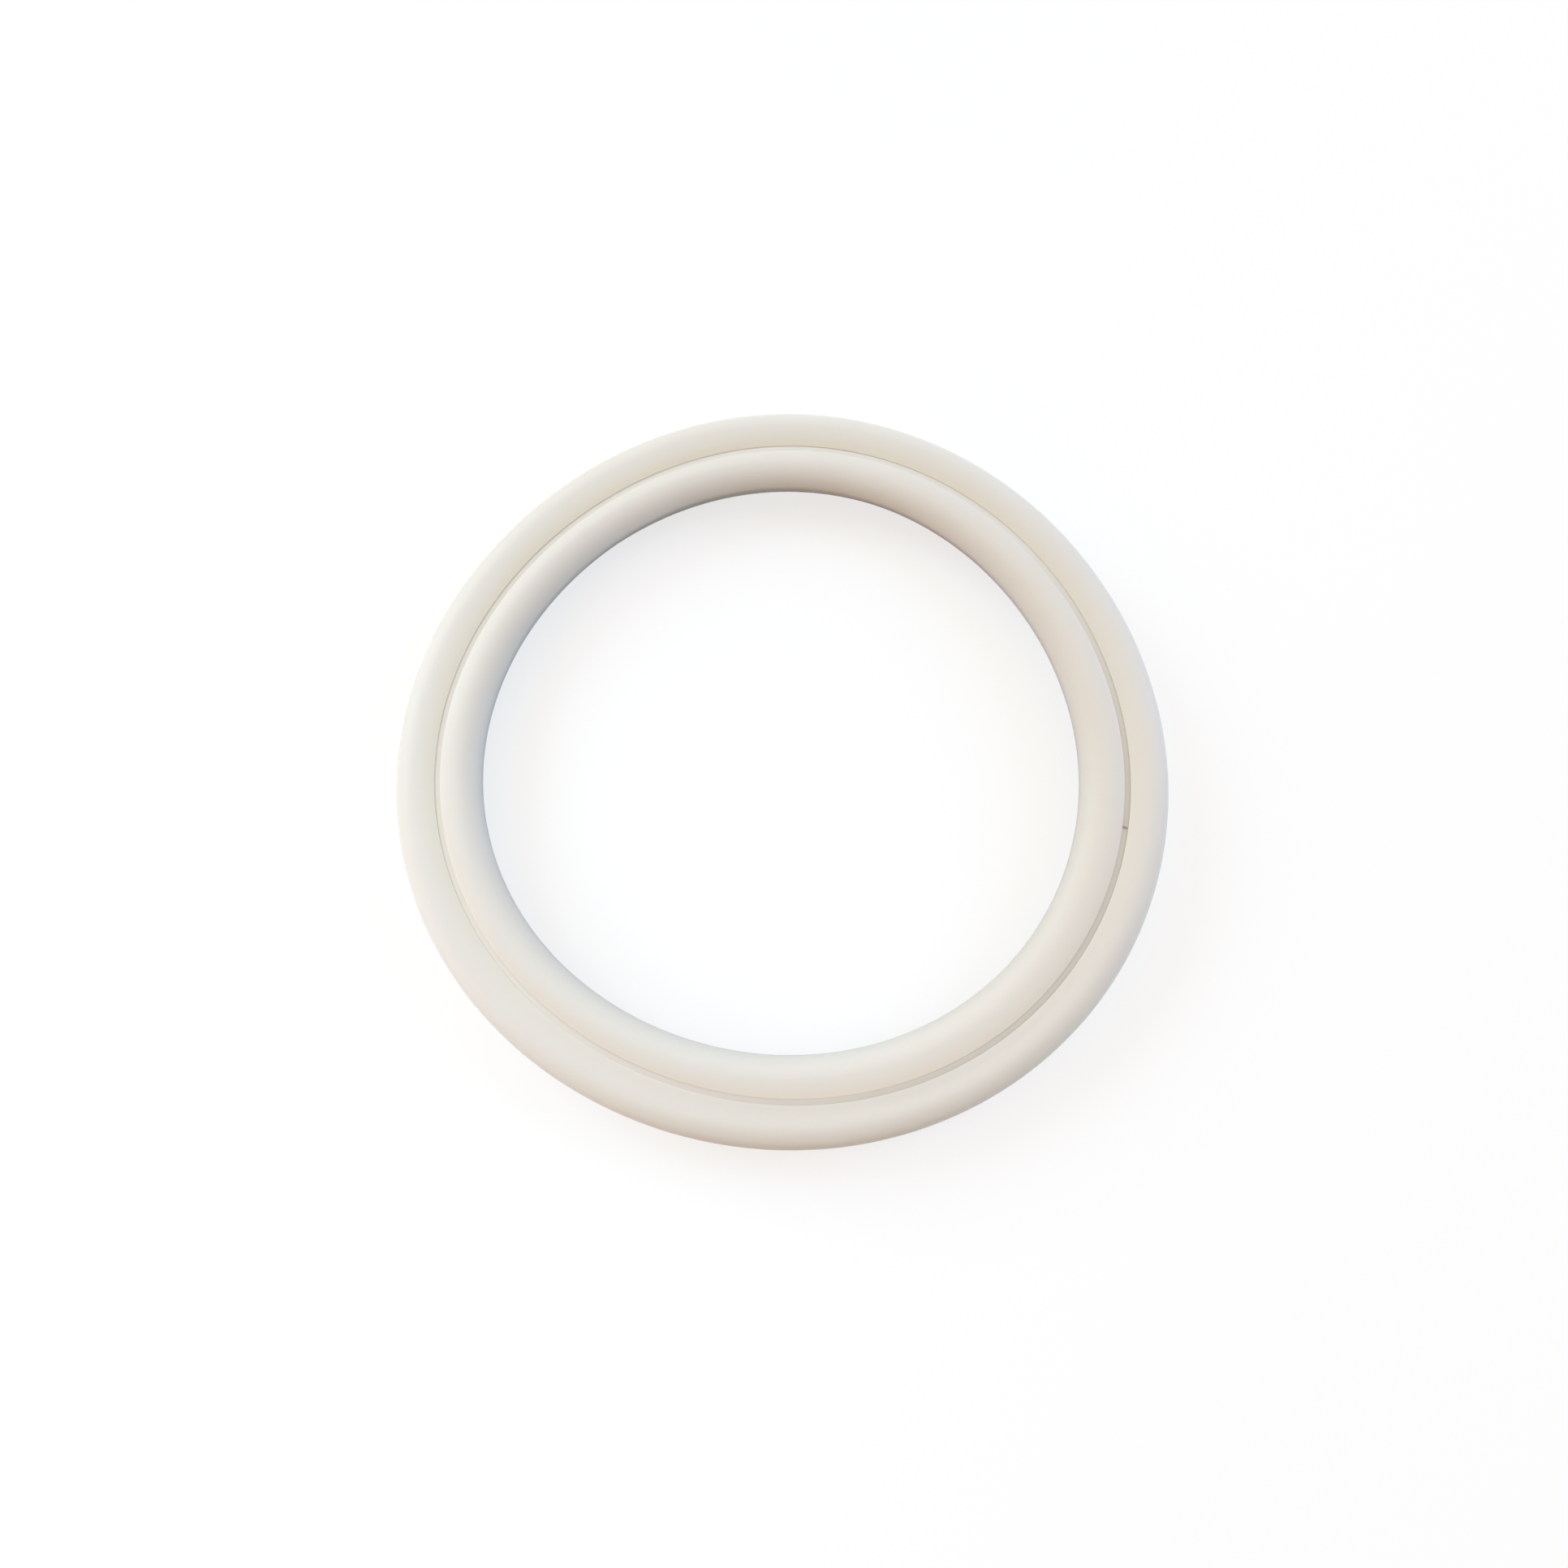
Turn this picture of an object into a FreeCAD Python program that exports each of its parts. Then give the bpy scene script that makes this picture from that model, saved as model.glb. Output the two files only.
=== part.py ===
import FreeCAD, Part
import math
import os

# Double-bead sealing ring, moulded in one piece from soft silicone rubber.
# It lies on its flat base. The origin is on the ring's axis, at the level of
# the base, and +Z is up. Sizes are in millimetres and turns in degrees.

# The hole through the ring, and the height of the whole ring
bore_diameter = 56.0
height = 5.5

# Inner bead, from the bore outwards. A small arc leaves the bore's wall and
# turns inwards, a larger one goes on to the crown's top, and one last arc falls
# from there to the slot's rim.
inner_shoulder_run = 2.4
inner_shoulder_radius = 0.8
inner_shoulder_turn = 35.0
inner_crown_run = 1.45
inner_crown_drop = 0.42

# Shallow slot that parts the two beads, its depth taken from the outer bead's rim
slot_width = 0.6
slot_depth = 0.12

# Outer bead, from the slot outwards, a little lower than the inner one
outer_bead_step = 0.15
outer_crown_run = 1.85
outer_crown_drop = 0.38
outer_shoulder_run = 1.95
outer_shoulder_radius = 1.25
outer_shoulder_turn = 60.0

# Underside: a short straight wall in the bore, a bevel under the lip and a
# rounded outer corner at the base
bore_land = 0.2
lip_overhang = 1.75
base_corner_radius = 0.6


def point(radius, level):
    """A point of the section, which lies in the XZ plane."""
    return FreeCAD.Vector(radius, 0, level)


def straight(start, end):
    """A straight edge between two points of the section."""
    return Part.LineSegment(point(*start), point(*end)).toShape()


def arc(centre, radius, start_angle, end_angle):
    """An edge of a circle, by its centre and its two angles in the section."""
    angles = [math.radians(start_angle), math.radians(end_angle)]
    angles.insert(1, sum(angles) / 2)
    ends_and_middle = [point(centre[0] + radius * math.cos(angle),
                             centre[1] + radius * math.sin(angle)) for angle in angles]
    return Part.Arc(*ends_and_middle).toShape()


def shoulder_top_radius(run, radius, turn):
    """Radius of the larger arc, which meets the small one without a corner."""
    return radius + (run - radius) / math.cos(math.radians(turn))


def shoulder_drop(run, radius, turn):
    """How far the wall's end lies below the crown's top."""
    top_radius = shoulder_top_radius(run, radius, turn)
    return top_radius - (top_radius - radius) * math.sin(math.radians(turn))


def inner_shoulder():
    """The arcs of the inner bead from the bore's wall to the crown's top."""
    radius = inner_shoulder_radius
    turn = inner_shoulder_turn
    top_radius = shoulder_top_radius(inner_shoulder_run, radius, turn)
    return [
        arc((bore_radius + radius, inner_shoulder_level), radius, 180, 180 - turn),
        arc((inner_apex_radius, height - top_radius), top_radius, 180 - turn, 90),
    ]


def outer_shoulder():
    """The arcs of the outer bead from the crown's top to the outer wall."""
    radius = outer_shoulder_radius
    turn = outer_shoulder_turn
    top_radius = shoulder_top_radius(outer_shoulder_run, radius, turn)
    return [
        arc((outer_apex_radius, outer_apex_level - top_radius), top_radius, 90, turn),
        arc((outer_radius - radius, outer_shoulder_level), radius, turn, 0),
    ]


def crown(apex, run, drop, side):
    """The arc between a crown's top and the slot's rim. The side is 1 where the
    rim lies outside the top, and -1 where it lies inside."""
    radius = (run**2 + drop**2) / (2 * drop)
    fall = math.degrees(math.asin(run / radius))
    return arc((apex[0], apex[1] - radius), radius, 90, 90 - side * fall)


def section():
    """The closed outline of the ring's section, as one face."""
    lip_end = (bore_radius, lip_level)
    inner_foot = (bore_radius, inner_shoulder_level)
    inner_apex = (inner_apex_radius, height)
    inner_rim = (inner_rim_radius, inner_rim_level)
    slot_inner_corner = (inner_rim_radius, slot_floor_level)
    slot_outer_corner = (outer_rim_radius, slot_floor_level)
    outer_rim = (outer_rim_radius, outer_rim_level)
    outer_apex = (outer_apex_radius, outer_apex_level)
    outer_foot = (outer_radius, outer_shoulder_level)
    wall_end = (outer_radius, base_corner_radius)
    corner_centre = (outer_radius - base_corner_radius, base_corner_radius)
    base_outer = (corner_centre[0], 0)
    base_inner = (base_inner_radius, 0)
    edges = [
        straight(lip_end, inner_foot),
        *inner_shoulder(),
        crown(inner_apex, inner_crown_run, inner_crown_drop, 1),
        straight(inner_rim, slot_inner_corner),
        straight(slot_inner_corner, slot_outer_corner),
        straight(slot_outer_corner, outer_rim),
        crown(outer_apex, outer_crown_run, outer_crown_drop, -1),
        *outer_shoulder(),
        straight(outer_foot, wall_end),
        arc(corner_centre, base_corner_radius, 0, -90),
        straight(base_outer, base_inner),
        straight(base_inner, lip_end),
    ]
    return Part.Face(Part.Wire(edges))


def seal_ring():
    """The section turned once about the ring's axis."""
    axis_foot = FreeCAD.Vector(0, 0, 0)
    axis = FreeCAD.Vector(0, 0, 1)
    return section().revolve(axis_foot, axis, 360)


# Radii of the section's main points, from the bore outwards
bore_radius = bore_diameter / 2
inner_apex_radius = bore_radius + inner_shoulder_run
inner_rim_radius = inner_apex_radius + inner_crown_run
outer_rim_radius = inner_rim_radius + slot_width
outer_apex_radius = outer_rim_radius + outer_crown_run
outer_radius = outer_apex_radius + outer_shoulder_run
base_inner_radius = bore_radius + lip_overhang

# Levels of the same points above the base
inner_shoulder_level = height - shoulder_drop(
    inner_shoulder_run, inner_shoulder_radius, inner_shoulder_turn)
lip_level = inner_shoulder_level - bore_land
inner_rim_level = height - inner_crown_drop
outer_apex_level = height - outer_bead_step
outer_rim_level = outer_apex_level - outer_crown_drop
outer_shoulder_level = outer_apex_level - shoulder_drop(
    outer_shoulder_run, outer_shoulder_radius, outer_shoulder_turn)
slot_floor_level = outer_rim_level - slot_depth

os.makedirs("parts", exist_ok=True)
seal_ring().exportStep("parts/seal_ring.step")

outer_wall = outer_shoulder_level - base_corner_radius
print("outside diameter", round(2 * outer_radius, 3))
print("bore wall: middle", round(lip_level + bore_land / 2, 4), "length", bore_land)
print("outer wall: middle", round(base_corner_radius + outer_wall / 2, 4),
      "length", round(outer_wall, 4))
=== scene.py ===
import math

import bpy
from mathutils import Matrix, Vector


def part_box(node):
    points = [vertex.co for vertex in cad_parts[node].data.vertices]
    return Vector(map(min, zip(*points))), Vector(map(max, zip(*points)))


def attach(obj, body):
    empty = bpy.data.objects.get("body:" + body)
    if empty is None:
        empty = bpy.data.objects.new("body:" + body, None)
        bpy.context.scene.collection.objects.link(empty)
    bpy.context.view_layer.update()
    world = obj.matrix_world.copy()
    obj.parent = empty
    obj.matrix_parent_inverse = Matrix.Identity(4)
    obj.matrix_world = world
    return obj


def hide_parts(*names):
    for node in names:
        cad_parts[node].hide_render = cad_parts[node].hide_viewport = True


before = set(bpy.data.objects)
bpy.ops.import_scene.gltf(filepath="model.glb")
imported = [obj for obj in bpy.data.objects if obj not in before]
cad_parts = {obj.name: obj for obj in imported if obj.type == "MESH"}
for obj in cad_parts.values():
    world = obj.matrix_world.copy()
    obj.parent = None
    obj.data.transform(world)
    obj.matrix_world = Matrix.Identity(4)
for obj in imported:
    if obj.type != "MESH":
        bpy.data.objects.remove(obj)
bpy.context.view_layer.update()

# Seal ring
# One soft ring of cream silicone rubber, pressed in a mould. Two rounded beads run round
# its top with a narrow slot between them, and it lies a little out of round. Its sizes are
# in millimetres and its turns in degrees.
mm = 0.001
ring_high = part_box("seal_ring")[1]
outer_radius = ring_high.x / mm
height = ring_high.z / mm
bore_radius = 28.0
inner_shoulder = {"run": 2.4, "radius": 0.8, "turn": 35.0}
inner_crown = {"run": 1.45, "drop": 0.38}
slot_width = 0.6
slot_depth = 0.12
outer_bead_step = 0.15
outer_crown = {"run": 1.85, "drop": 0.38}
outer_shoulder = {"run": 1.95, "radius": 1.25, "turn": 60.0}
bore_land = 0.2
lip_overhang = 1.75
base_corner_radius = 0.6
rim_radius = 0.05
floor_corner_radius = 0.03
lip_radius = 0.12
half_slot = slot_width / 2
slot_place = bore_radius + inner_shoulder["run"] + inner_crown["run"] + half_slot


def arc(centre, radius, start, end, steps=14):
    """Points along an arc of the section, from one angle to another in degrees."""
    turn = (end - start) / steps
    angles = [math.radians(start + turn * i) for i in range(steps + 1)]
    return [(centre[0] + radius * math.cos(a), centre[1] + radius * math.sin(a)) for a in angles]


def shoulder_arcs(apex, sizes, side):
    """Both arcs of a shoulder, from the crown's top to the wall. The side is 1 where the
    wall lies outside the top, and -1 where it lies inside."""
    small = sizes["radius"]
    turn = math.radians(sizes["turn"])
    large = small + (sizes["run"] - small) / math.cos(turn)
    drop = large - (large - small) * math.sin(turn)
    top = arc((0, -large), large, 90, sizes["turn"])
    foot = arc((sizes["run"] - small, -drop), small, sizes["turn"], 0)
    return [(apex[0] + side * x, apex[1] + y) for x, y in top + foot[1:]]


def crown_arc(apex, sizes, side):
    """The arc from a crown's top to the slot's rim."""
    radius = (sizes["run"] ** 2 + sizes["drop"] ** 2) / (2 * sizes["drop"])
    fall = math.degrees(math.asin(sizes["run"] / radius))
    points = arc((0, -radius), radius, 90, 90 - fall)
    return [(apex[0] + side * x, apex[1] + y) for x, y in points]


def soften(before, corner, after, radius, steps=5):
    """Points that turn a corner of the section on a small arc of that radius. One more point
    close to either end keeps the smooth shading off the faces beside it."""
    corner = Vector(corner)
    inward = (Vector(before) - corner).normalized()
    onward = (Vector(after) - corner).normalized()
    half = inward.angle(onward) / 2
    centre = corner + (inward + onward).normalized() * (radius / math.sin(half))
    start = corner + inward * (radius / math.tan(half)) - centre
    sweep = start.angle_signed(corner + onward * (radius / math.tan(half)) - centre)
    turned = [start.copy() for _ in range(steps + 1)]
    for i, arm in enumerate(turned):
        arm.rotate(Matrix.Rotation(-sweep * i / steps, 2))
    points = [centre + arm for arm in turned]
    close_by = 0.2 * radius
    points = [points[0] + inward * close_by, *points, points[-1] + onward * close_by]
    return [tuple(point) for point in points]


def ring_section():
    """The ring's section as points (radius, level), from the lip up and over the top."""
    inner_apex = (bore_radius + inner_shoulder["run"], height)
    inner_rim = inner_apex[0] + inner_crown["run"]
    outer_rim = inner_rim + slot_width
    outer_apex = (outer_rim + outer_crown["run"], height - outer_bead_step)
    inner_shoulder_points = shoulder_arcs(inner_apex, inner_shoulder, -1)[::-1]
    inner_crown_points = crown_arc(inner_apex, inner_crown, 1)
    outer_crown_points = crown_arc(outer_apex, outer_crown, -1)[::-1]
    outer_shoulder_points = shoulder_arcs(outer_apex, outer_shoulder, 1)
    floor_level = outer_crown_points[0][1] - slot_depth
    floor_inner = (inner_rim, floor_level)
    floor_outer = (outer_rim, floor_level)
    lip = (bore_radius, inner_shoulder_points[0][1] - bore_land)
    base_inner = (bore_radius + lip_overhang, 0.0)
    base_outer = (outer_radius - base_corner_radius, 0.0)
    wall_foot = arc((base_outer[0], base_corner_radius), base_corner_radius, 0, -90, steps=8)
    return [
        *soften(base_inner, lip, inner_shoulder_points[0], lip_radius),
        *inner_shoulder_points,
        *inner_crown_points[1:-1],
        *soften(inner_crown_points[-2], inner_crown_points[-1], floor_inner, rim_radius),
        *soften(inner_crown_points[-1], floor_inner, floor_outer, floor_corner_radius),
        *soften(floor_inner, floor_outer, outer_crown_points[0], floor_corner_radius),
        *soften(floor_outer, outer_crown_points[0], outer_crown_points[1], rim_radius),
        *outer_crown_points[1:],
        *outer_shoulder_points[1:],
        *wall_foot,
        *soften(base_outer, base_inner, lip, lip_radius),
    ]


def section_curve(points):
    """The section as a closed curve, to the right of the pitch circle and downwards."""
    curve = bpy.data.curves.new("seal_section", "CURVE")
    spline = curve.splines.new("POLY")
    spline.points.add(len(points) - 1)
    for spot, (radius, level) in zip(spline.points, points):
        spot.co = ((radius - bore_radius) * mm, -level * mm, 0, 1)
    spline.use_cyclic_u = True
    section = bpy.data.objects.new("seal_section", curve)
    bpy.context.scene.collection.objects.link(section)
    return section


def node_makers(tree):
    """Short ways to add a Math, a Vector Math and a Map Range node to a tree. What goes into
    a node is a number, a vector or the output of another node."""

    def filled(node, values):
        inputs = [socket for socket in node.inputs if socket.enabled]
        for socket, value in zip(inputs, values):
            if isinstance(value, bpy.types.NodeSocket):
                tree.links.new(value, socket)
            else:
                socket.default_value = value
        return next(socket for socket in node.outputs if socket.enabled)

    def maths(operation, *values):
        node = tree.nodes.new("ShaderNodeMath")
        node.operation = operation
        return filled(node, values)

    def vector(operation, *values):
        node = tree.nodes.new("ShaderNodeVectorMath")
        node.operation = operation
        return filled(node, values)

    def ramp(value, start, end, rise="LINEAR"):
        """0 up to the start and 1 from the end on."""
        node = tree.nodes.new("ShaderNodeMapRange")
        node.interpolation_type = rise
        return filled(node, (value, start, end))

    return maths, vector, ramp


# Waves round the ring, the slot and its outer rim push them outwards. Each has its number of
# crests, its size and a crest's turn from +X. The slot and the flanks beside it are raised
# by a share of their depth below their own bead's top. The share grows towards one side,
# where the outer flank keeps a little more of its slope.
ring_waves = {
    "Oval": (2, 0.320, -27.0),
    "Three Lobes": (3, 0.320, -48.9),
    "Four Lobes": (4, 0.050, -8.6),
}
slot_waves = {
    "Slot Drift": (1, 0.215, -41.8),
    "Slot Oval": (2, 0.047, -8.2),
    "Slot Three": (3, 0.064, 49.8),
}
outer_rim_waves = {"Slot Widening": (1, 0.037, 72.0)}
shallow_waves = {"Shallow Side": (1, 0.92, -92.0)}
slot_shift = -0.069
raised_share = 0.26
outer_slope_kept = 0.05
share_blend = 0.1
unevenness = 0.03


def ring_tree(material, sizes):
    """The section swept round the axis, then pushed out of round, as a soft ring lies once
    it's out of its mould. The slot wanders by less between its beads, and on one side it's
    shallower. The sizes become the tree's inputs."""
    tree = bpy.data.node_groups.new("seal_ring_sweep", "GeometryNodeTree")
    nodes, link = tree.nodes, tree.links.new
    maths, vector, ramp = node_makers(tree)
    kinds = {float: "NodeSocketFloat", int: "NodeSocketInt", bpy.types.Object: "NodeSocketObject"}
    tree.interface.new_socket("Geometry", in_out="OUTPUT", socket_type="NodeSocketGeometry")
    identifiers = {}
    for name, size in sizes.items():
        socket = tree.interface.new_socket(name, in_out="INPUT", socket_type=kinds[type(size)])
        identifiers[name] = socket.identifier
    given = nodes.new("NodeGroupInput").outputs

    circle = nodes.new("GeometryNodeCurvePrimitiveCircle")
    link(given["Steps Round"], circle.inputs["Resolution"])
    link(given["Bore Radius"], circle.inputs["Radius"])
    section = nodes.new("GeometryNodeObjectInfo")
    link(given["Section"], section.inputs["Object"])
    sweep = nodes.new("GeometryNodeCurveToMesh")
    link(circle.outputs["Curve"], sweep.inputs["Curve"])
    link(section.outputs["Geometry"], sweep.inputs["Profile Curve"])

    place = nodes.new("GeometryNodeInputPosition").outputs[0]
    split = nodes.new("ShaderNodeSeparateXYZ")
    link(place, split.inputs[0])
    azimuth = maths("ARCTAN2", split.outputs["Y"], split.outputs["X"])
    flat = vector("MULTIPLY", place, (1, 1, 0))
    distance = vector("LENGTH", flat)
    from_slot = maths("SUBTRACT", distance, given["Slot Place"])

    across = nodes.new("GeometryNodeStoreNamedAttribute")
    across.data_type = "FLOAT"
    across.domain = "POINT"
    across.inputs["Name"].default_value = "across"
    link(sweep.outputs["Mesh"], across.inputs["Geometry"])
    link(maths("SUBTRACT", distance, given["Bore Radius"]), across.inputs["Value"])

    def with_waves(level, waves):
        """The level with those waves added to it."""
        for name, (crests, _, _) in waves.items():
            turned = maths("SUBTRACT", azimuth, given[name + " Turn"])
            wave = maths("COSINE", maths("MULTIPLY", turned, crests))
            level = maths("ADD", level, maths("MULTIPLY", given[name], wave))
        return level

    near_slot = ramp(maths("ABSOLUTE", from_slot), inner_shoulder["run"] * mm, slot_width * mm,
                     "SMOOTHERSTEP")
    slot_push = with_waves(given["Slot Shift"], slot_waves)
    at_outer_rim = ramp(from_slot, 0.0, half_slot * mm)
    rim_push = maths("MULTIPLY", with_waves(0.0, outer_rim_waves), at_outer_rim)
    slot_push = maths("MULTIPLY", maths("ADD", slot_push, rim_push), near_slot)
    outwards = vector("SCALE", vector("NORMALIZE", flat),
                      maths("ADD", with_waves(0.0, ring_waves), slot_push))

    past_inner_top = maths("GREATER_THAN", from_slot, -(half_slot + inner_crown["run"]) * mm)
    before_outer_top = ramp(from_slot, (half_slot + outer_crown["run"]) * mm, half_slot * mm,
                            "SMOOTHSTEP")
    over_floor = ramp(from_slot, -half_slot * mm, half_slot * mm)
    own_top = maths("MULTIPLY_ADD", over_floor, -outer_bead_step * mm, given["Top Level"])
    depth = maths("MAXIMUM", maths("SUBTRACT", own_top, split.outputs["Z"]), 0.0)
    depth = maths("MULTIPLY", depth, maths("MULTIPLY", past_inner_top, before_outer_top))
    shallower = maths("MULTIPLY", with_waves(0.0, shallow_waves),
                      maths("MULTIPLY_ADD", over_floor, -outer_slope_kept, 1.0))
    share = maths("SMOOTH_MAX", given["Raised Share"], shallower, share_blend)
    upwards = nodes.new("ShaderNodeCombineXYZ")
    link(maths("MULTIPLY", depth, share), upwards.inputs["Z"])
    lobed = nodes.new("GeometryNodeSetPosition")
    link(across.outputs["Geometry"], lobed.inputs["Geometry"])
    link(vector("ADD", outwards, upwards.outputs[0]), lobed.inputs["Offset"])

    noise = nodes.new("ShaderNodeTexNoise")
    noise.inputs["Detail"].default_value = 2
    link(given["Unevenness Scale"], noise.inputs["Scale"])
    link(nodes.new("GeometryNodeInputPosition").outputs[0], noise.inputs["Vector"])
    above_base = ramp(split.outputs["Z"], 0.0, base_corner_radius * mm)
    swell = maths("MULTIPLY", maths("SUBTRACT", noise.outputs["Fac"], 0.5), above_base)
    swell = maths("MULTIPLY", swell, given["Unevenness"])
    uneven = nodes.new("GeometryNodeSetPosition")
    link(lobed.outputs["Geometry"], uneven.inputs["Geometry"])
    link(vector("SCALE", nodes.new("GeometryNodeInputNormal").outputs[0], swell),
         uneven.inputs["Offset"])

    smooth = nodes.new("GeometryNodeSetShadeSmooth")
    link(uneven.outputs["Geometry"], smooth.inputs["Geometry"])
    real = nodes.new("GeometryNodeRealizeInstances")
    link(smooth.outputs["Geometry"], real.inputs["Geometry"])
    painted = nodes.new("GeometryNodeSetMaterial")
    painted.inputs["Material"].default_value = material
    link(real.outputs["Geometry"], painted.inputs["Geometry"])
    link(painted.outputs["Geometry"], nodes.new("NodeGroupOutput").inputs["Geometry"])
    return tree, identifiers


cream_dark = (0.760, 0.715, 0.655)
cream_light = (0.780, 0.735, 0.675)
cloud_scale = 90.0

# How strongly the slot's floor is darkened and tanned: a level, with waves like those above.
# A little of it is the floor's own warmer tone, and most is painted shadow from the beads'
# rims, strongest where the light crosses the slot. It grows from the inner corner to the outer
# one as painted shade. On one side a darker line of painted shade runs along the outer
# corner, and its two powers narrow it round the ring and across the slot.
slot_tan_and_shadow = (0.77, 0.76, 0.70)
tan_and_shadow_level = 0.141
tan_and_shadow_waves = ((1, 0.088, -12.8), (2, 0.259, -33.1), (3, 0.060, -4.0))
tan_and_shade_at_inner_corner = 0.5
tan_and_shade_at_outer_corner = 1.4
floor_mask_edge = 0.02
corner_shade_line = {"size": 0.35, "turn": -58.0, "round_power": 3.0, "across_power": 2.0}

# Painted warm shade beside the slot, on the flank that slopes away from the light, is
# strongest at its turn from +X, and its side is 1 on the outer bead and -1 on the inner one.
# A mark has its reach along its own turned X, Y and Z.
outer_warm_shade = {"side": 1.0, "reach": 1.7, "turn": 107.0, "round_power": 1.0,
                "tint": (0.975, 0.955, 0.87)}
inner_warm_shade = {"side": -1.0, "reach": 1.5, "turn": -93.0, "round_power": 2.0,
                "tint": (0.985, 0.945, 0.89)}
pinkish_patch = {"centre": (30.60, -11.15, 4.9), "reach": (0.42, 0.85, 0.5), "turn": -20.4,
                 "tint": (1.0, 0.94, 0.96)}
brown_speck = {"centre": (30.56, -11.40, 4.9), "reach": (0.38, 0.18, 0.5), "turn": -27.0,
               "tint": (0.60, 0.50, 0.48)}


def silicone_material():
    """Cream silicone rubber: satin, and a little light passes into it. The slot's floor is
    painted darker and tanner, a little by its own warmer tone and mostly as painted shadow
    and shade, and in places the beads are painted yellower beside it as painted warm shade.
    A brown speck lies across the slot, in a pinkish patch."""
    material = bpy.data.materials.new("cream_silicone")
    material.use_nodes = True
    nodes, link = material.node_tree.nodes, material.node_tree.links.new
    maths, vector, ramp = node_makers(material.node_tree)
    shader = nodes["Principled BSDF"]
    shader.inputs["Roughness"].default_value = 0.5
    shader.inputs["IOR"].default_value = 1.41
    shader.inputs["Specular IOR Level"].default_value = 0.5
    shader.inputs["Subsurface Weight"].default_value = 0.5
    shader.inputs["Subsurface Radius"].default_value = (1.0, 0.9, 0.8)
    shader.inputs["Subsurface Scale"].default_value = 0.25 * mm
    place = nodes.new("ShaderNodeTexCoord").outputs["Object"]
    split = nodes.new("ShaderNodeSeparateXYZ")
    link(place, split.inputs[0])
    azimuth = maths("ARCTAN2", split.outputs["Y"], split.outputs["X"])
    across = nodes.new("ShaderNodeAttribute")
    across.attribute_name = "across"
    from_slot = maths("SUBTRACT", across.outputs["Fac"], (slot_place - bore_radius) * mm)

    def ripple(crests, size, turn):
        """A wave round the ring, with a crest at that many degrees."""
        phase = maths("MULTIPLY", maths("SUBTRACT", azimuth, math.radians(turn)), crests)
        return maths("MULTIPLY", maths("COSINE", phase), size)

    def tinted(colour, strength, tint):
        """The colour, taken towards its product with the tint by that strength."""
        mix = nodes.new("ShaderNodeMix")
        mix.data_type = "RGBA"
        mix.blend_type = "MULTIPLY"
        link(strength, mix.inputs["Factor"])
        link(colour, mix.inputs["A"])
        mix.inputs["B"].default_value = (*tint, 1)
        return mix.outputs["Result"]

    def floor_tan_and_shadow(colour):
        """The colour, with the slot's floor tanned and darkened by painted shadow and shade."""
        in_slot = ramp(maths("ABSOLUTE", from_slot), (half_slot + floor_mask_edge) * mm, half_slot * mm)
        to_outer_corner = ramp(from_slot, -half_slot * mm, half_slot * mm)
        # Partly the floor's own tan, mostly painted shadow where the light crosses the slot
        tan = tan_and_shadow_level
        for wave in tan_and_shadow_waves:
            tan = maths("ADD", tan, ripple(*wave))
        tan = maths("MULTIPLY", tan, maths("MULTIPLY_ADD", to_outer_corner,
                                           tan_and_shade_at_outer_corner - tan_and_shade_at_inner_corner,
                                           tan_and_shade_at_inner_corner))
        # A darker line of painted shade in the outer corner, on one side of the ring
        facing = maths("MAXIMUM", ripple(1, 1.0, corner_shade_line["turn"]), 0.0)
        line = maths("MULTIPLY", maths("POWER", to_outer_corner, corner_shade_line["across_power"]),
                     maths("POWER", facing, corner_shade_line["round_power"]))
        tan = maths("ADD", tan, maths("MULTIPLY", line, corner_shade_line["size"]))
        return tinted(colour, maths("MULTIPLY", tan, in_slot), slot_tan_and_shadow)

    def warm_shade_band(colour, band):
        """The colour, with painted warm shade on one bead's flank beside the slot. It fades away
        from the slot and round the ring."""
        away = maths("MULTIPLY", from_slot, band["side"])
        beside = ramp(away, (half_slot + band["reach"]) * mm, half_slot * mm, "SMOOTHSTEP")
        beside = maths("MULTIPLY", beside, maths("GREATER_THAN", away, half_slot * mm))
        facing = maths("ADD", 0.5, ripple(1, 0.5, band["turn"]))
        facing = maths("POWER", facing, band["round_power"])
        return tinted(colour, maths("MULTIPLY", facing, beside), band["tint"])

    def marked(colour, mark):
        """The colour, with an oval mark on it that fades over the outer half of its reach."""
        oval = nodes.new("ShaderNodeMapping")
        oval.vector_type = "TEXTURE"
        link(place, oval.inputs["Vector"])
        oval.inputs["Location"].default_value = Vector(mark["centre"]) * mm
        oval.inputs["Rotation"].default_value = (0, 0, math.radians(mark["turn"]))
        oval.inputs["Scale"].default_value = Vector(mark["reach"]) * mm
        away = vector("LENGTH", oval.outputs["Vector"])
        return tinted(colour, ramp(away, 1.0, 0.5, "SMOOTHSTEP"), mark["tint"])

    cloud = nodes.new("ShaderNodeTexNoise")
    cloud.inputs["Scale"].default_value = cloud_scale
    cloud.inputs["Detail"].default_value = 2
    link(place, cloud.inputs["Vector"])
    cream = nodes.new("ShaderNodeMix")
    cream.data_type = "RGBA"
    link(cloud.outputs["Fac"], cream.inputs["Factor"])
    cream.inputs["A"].default_value = (*cream_dark, 1)
    cream.inputs["B"].default_value = (*cream_light, 1)
    # The slot's floor, with painted shadow and shade and a little tan
    colour = floor_tan_and_shadow(cream.outputs["Result"])
    # Painted warm shade on the flanks beside the slot
    colour = warm_shade_band(colour, outer_warm_shade)
    colour = warm_shade_band(colour, inner_warm_shade)
    colour = marked(colour, pinkish_patch)
    colour = marked(colour, brown_speck)
    link(colour, shader.inputs["Base Color"])
    return material


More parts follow.
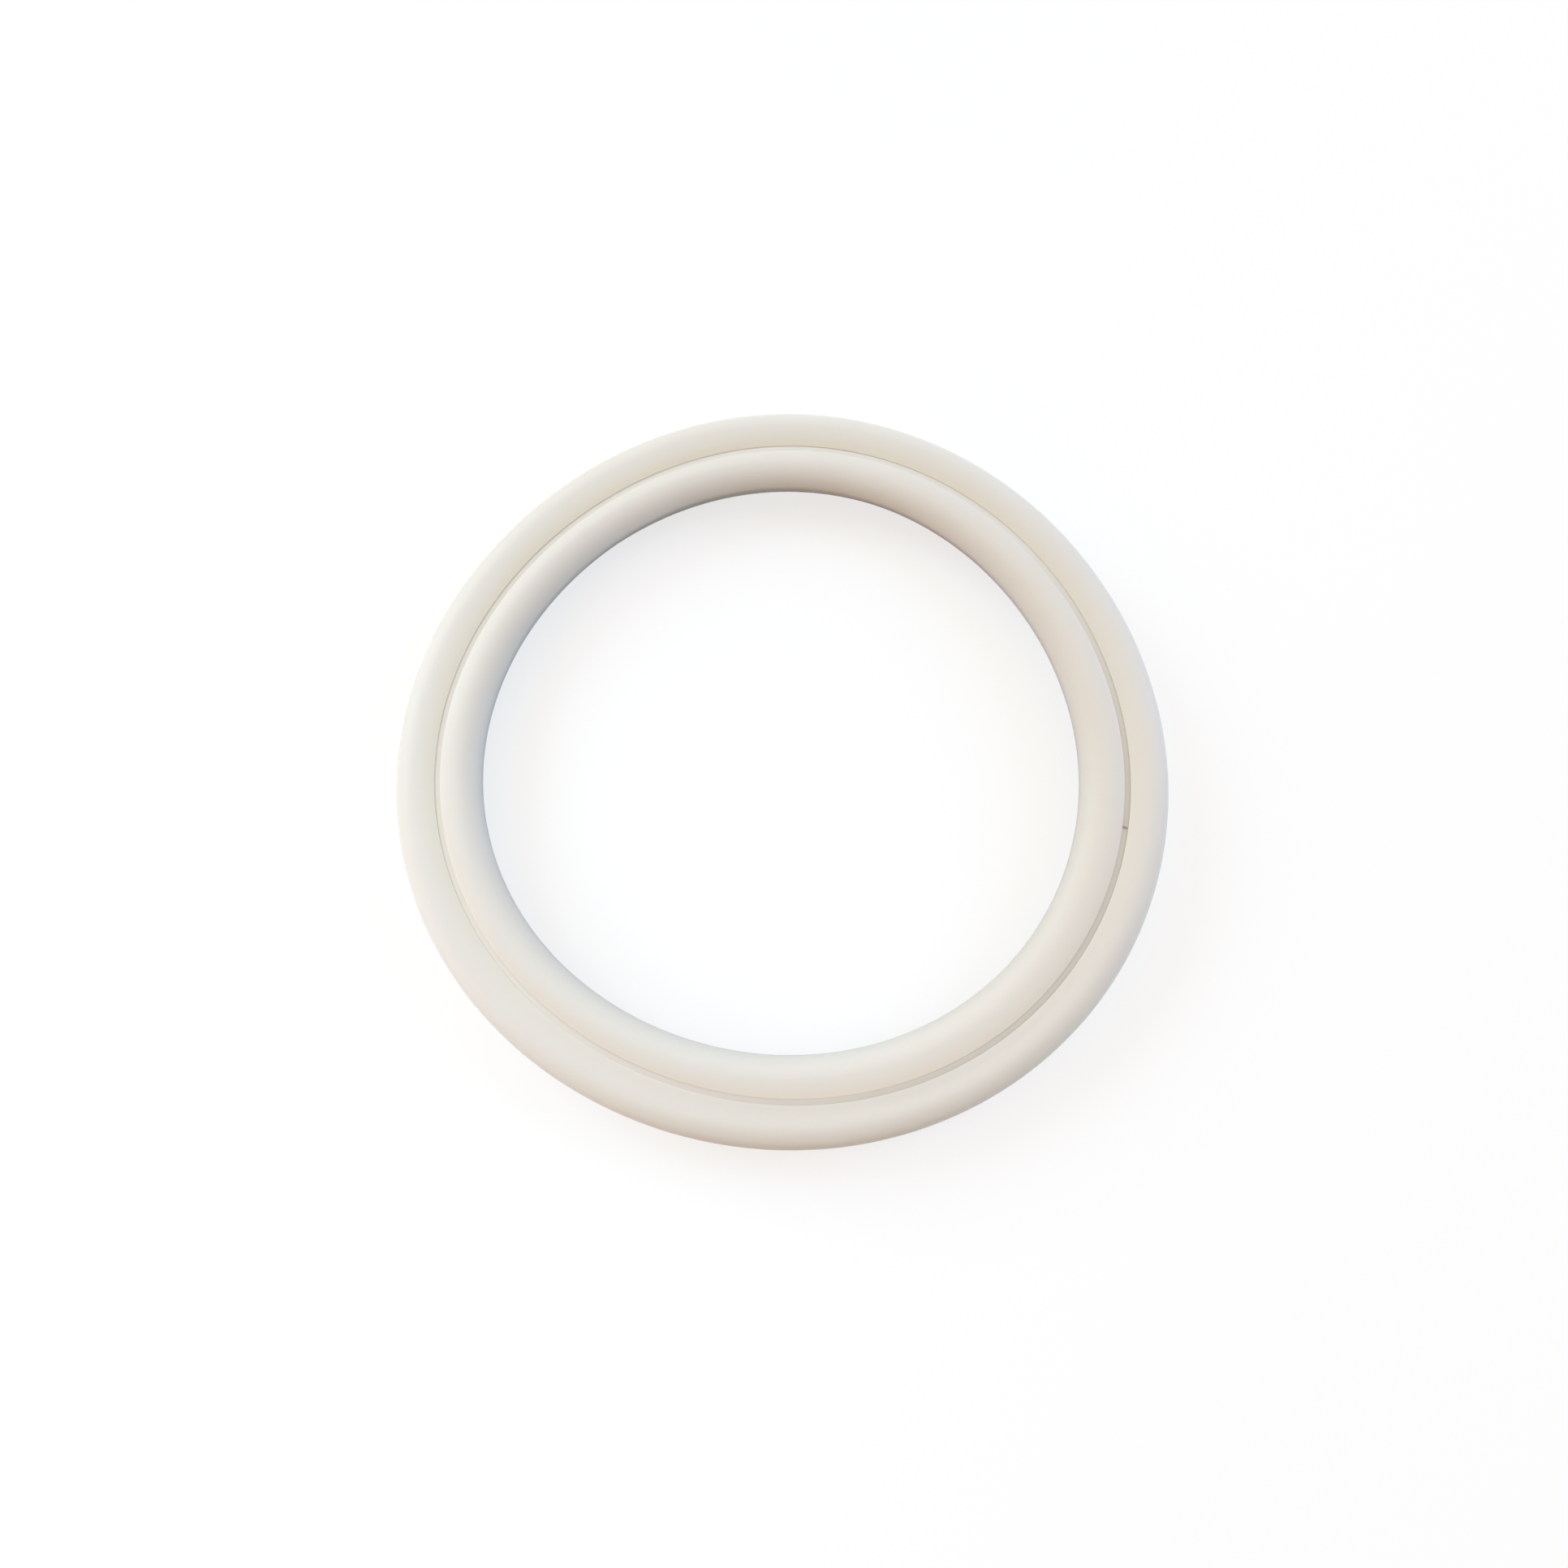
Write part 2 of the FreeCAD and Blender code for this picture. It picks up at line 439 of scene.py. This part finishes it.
section = section_curve(ring_section())
sweep_sizes = {
    "Section": section,
    "Steps Round": 480,
    "Bore Radius": bore_radius * mm,
    "Slot Place": slot_place * mm,
    "Slot Shift": slot_shift * mm,
    "Top Level": height * mm,
    "Raised Share": raised_share,
    "Unevenness": unevenness * mm,
    "Unevenness Scale": 180.0,
}
for name, (_, size, turn) in (ring_waves | slot_waves | outer_rim_waves).items():
    sweep_sizes[name] = size * mm
    sweep_sizes[name + " Turn"] = math.radians(turn)
for name, (_, share, turn) in shallow_waves.items():
    sweep_sizes[name] = share
    sweep_sizes[name + " Turn"] = math.radians(turn)
sweep_tree, identifiers = ring_tree(silicone_material(), sweep_sizes)
ring_shell = bpy.data.objects.new("ring_shell", bpy.data.meshes.new("ring_shell"))
bpy.context.scene.collection.objects.link(ring_shell)
sweep = ring_shell.modifiers.new("sweep", "NODES")
sweep.node_group = sweep_tree
for name, size in sweep_sizes.items():
    sweep[identifiers[name]] = size
shapes = bpy.context.evaluated_depsgraph_get()
ring = bpy.data.objects.new(
    "soft_seal_ring", bpy.data.meshes.new_from_object(ring_shell.evaluated_get(shapes)))
bpy.context.scene.collection.objects.link(ring)
bpy.data.objects.remove(ring_shell)
bpy.data.objects.remove(section)
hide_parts("seal_ring")
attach(ring, "root")

# Table
# A plain white sheet under the ring, far wider than the picture. It keeps the ring's soft
# shadow, and to the camera it is as white as paper. It sends light up to the ring from
# outside only, since the photo shows the hole's side dark.
table_size = 4000.0

# The share of its white that the paper gives by itself, which keeps the shadow faint, and the
# share of the light that it sends back up
own_glow = 0.7
sent_light = 0.8


def seen_rays(tree):
    """1 where the camera sees the surface, also in a gloss or through glass, and 0 where it
    only sends light."""
    maths = node_makers(tree)[0]
    ray = tree.nodes.new("ShaderNodeLightPath").outputs
    indirect = maths("MAXIMUM", ray["Is Glossy Ray"], ray["Is Transmission Ray"])
    return maths("MAXIMUM", indirect, ray["Is Camera Ray"])


half = table_size / 2 * mm
table = bpy.data.objects.new("table", bpy.data.meshes.new("table"))
table.data.from_pydata([(-half, -half, 0), (half, -half, 0), (half, half, 0), (-half, half, 0)],
                       [], [(0, 1, 2, 3)])
bpy.context.scene.collection.objects.link(table)
paper = bpy.data.materials.new("white_paper")
paper.use_nodes = True
paper_tree = paper.node_tree
paper_shader = paper_tree.nodes["Principled BSDF"]
paper_shader.inputs["Roughness"].default_value = 1.0
paper_shader.inputs["Specular IOR Level"].default_value = 0.0
maths, vector = node_makers(paper_tree)[:2]
paper_reach = vector("LENGTH", paper_tree.nodes.new("ShaderNodeTexCoord").outputs["Object"])
outside_ring = maths("GREATER_THAN", paper_reach, (bore_radius + outer_radius) / 2 * mm)
paper_white = paper_tree.nodes.new("ShaderNodeMix")
paper_tree.links.new(seen_rays(paper_tree), paper_white.inputs["Factor"])
paper_tree.links.new(maths("MULTIPLY", outside_ring, sent_light), paper_white.inputs["A"])
paper_white.inputs["B"].default_value = 1 - own_glow
paper_tree.links.new(paper_white.outputs["Result"], paper_shader.inputs["Base Color"])
paper_shader.inputs["Emission Color"].default_value = (1, 1, 1, 1)
paper_tree.links.new(maths("MULTIPLY", seen_rays(paper_tree), own_glow),
                     paper_shader.inputs["Emission Strength"])
table.data.materials.append(paper)

# Light
# A warm room, brighter overhead and at the far side. Two soft, cooler lamps stand low at the
# far left and at the right, and a small one lies close by at the near left.
room_level = (0.497, 0.402, 0.295)

# What the room's light gains towards the right, the far side and overhead
room_gains = {
    (1, 0, 0): (-0.178, 0.165, 0.207),
    (0, 1, 0): (0.347, 0.282, 0.207),
    (0, 0, 1): (0.347, 0.282, 0.155),
}
world = bpy.data.worlds.new("white_room")
bpy.context.scene.world = world
world.use_nodes = True
world_tree = world.node_tree
vector = node_makers(world_tree)[1]
outlook = world_tree.nodes.new("ShaderNodeTexCoord").outputs["Generated"]
room_light = room_level
for direction, gain in room_gains.items():
    along = vector("DOT_PRODUCT", outlook, direction)
    room_light = vector("MULTIPLY_ADD", along, gain, room_light)
room_colour = world_tree.nodes.new("ShaderNodeMix")
room_colour.data_type = "RGBA"
world_tree.links.new(seen_rays(world_tree), room_colour.inputs["Factor"])
world_tree.links.new(room_light, room_colour.inputs["A"])
room_colour.inputs["B"].default_value = (1, 1, 1, 1)
world_tree.links.new(room_colour.outputs["Result"], world_tree.nodes["Background"].inputs["Color"])


def disk_lamp(name, light, elevation, azimuth, distance, width):
    """A soft round lamp that is turned to the ring. The light is what it puts on the table
    in each colour, as a share of what pure white sends back. The distance and the width are
    in metres."""
    lamp = bpy.data.lights.new(name, "AREA")
    lamp.shape = "DISK"
    lamp.size = width
    rise = math.sin(math.radians(elevation))
    reach = math.cos(math.radians(elevation))
    turn = math.radians(azimuth)
    place = Vector((math.cos(turn) * reach, math.sin(turn) * reach, rise)) * distance
    lamp.energy = max(light) * math.pi ** 2 * distance ** 2 / rise
    lamp.color = [part / max(light) for part in light]
    holder = bpy.data.objects.new(name, lamp)
    holder.location = place
    holder.rotation_euler = place.to_track_quat("Z", "Y").to_euler()
    bpy.context.scene.collection.objects.link(holder)


disk_lamp("far_left_lamp", light=(0.123, 0.247, 0.317), elevation=30.0, azimuth=140.0,
          distance=1.0, width=0.6)
disk_lamp("right_lamp", light=(0.114, 0.144, 0.270), elevation=30.0, azimuth=10.0,
          distance=1.0, width=0.6)
disk_lamp("near_left_lamp", light=(0.064, 0.080, 0.105), elevation=25.0, azimuth=195.0,
          distance=0.13, width=0.06)

# Camera
# It looks down on the ring from close by, a little turned about its own line of sight.
camera_distance = 3.5 * outer_radius * mm
camera_elevation = math.radians(75.69)
camera_roll = math.radians(-8.13)
camera_target = Vector((0.049, -1.433, 0)) * mm
camera_lens = 29.795
camera = bpy.data.objects.new("camera", bpy.data.cameras.new("camera"))
camera.data.lens = camera_lens
camera.data.sensor_width = 36.0
camera.data.clip_start = 0.005
towards_camera = Vector((0, -math.cos(camera_elevation), math.sin(camera_elevation)))
camera.matrix_world = (
    Matrix.Translation(camera_target + towards_camera * camera_distance)
    @ towards_camera.to_track_quat("Z", "Y").to_matrix().to_4x4()
    @ Matrix.Rotation(camera_roll, 4, "Z")
)
bpy.context.scene.collection.objects.link(camera)
bpy.context.scene.camera = camera
bpy.context.scene.view_settings.view_transform = "Standard"
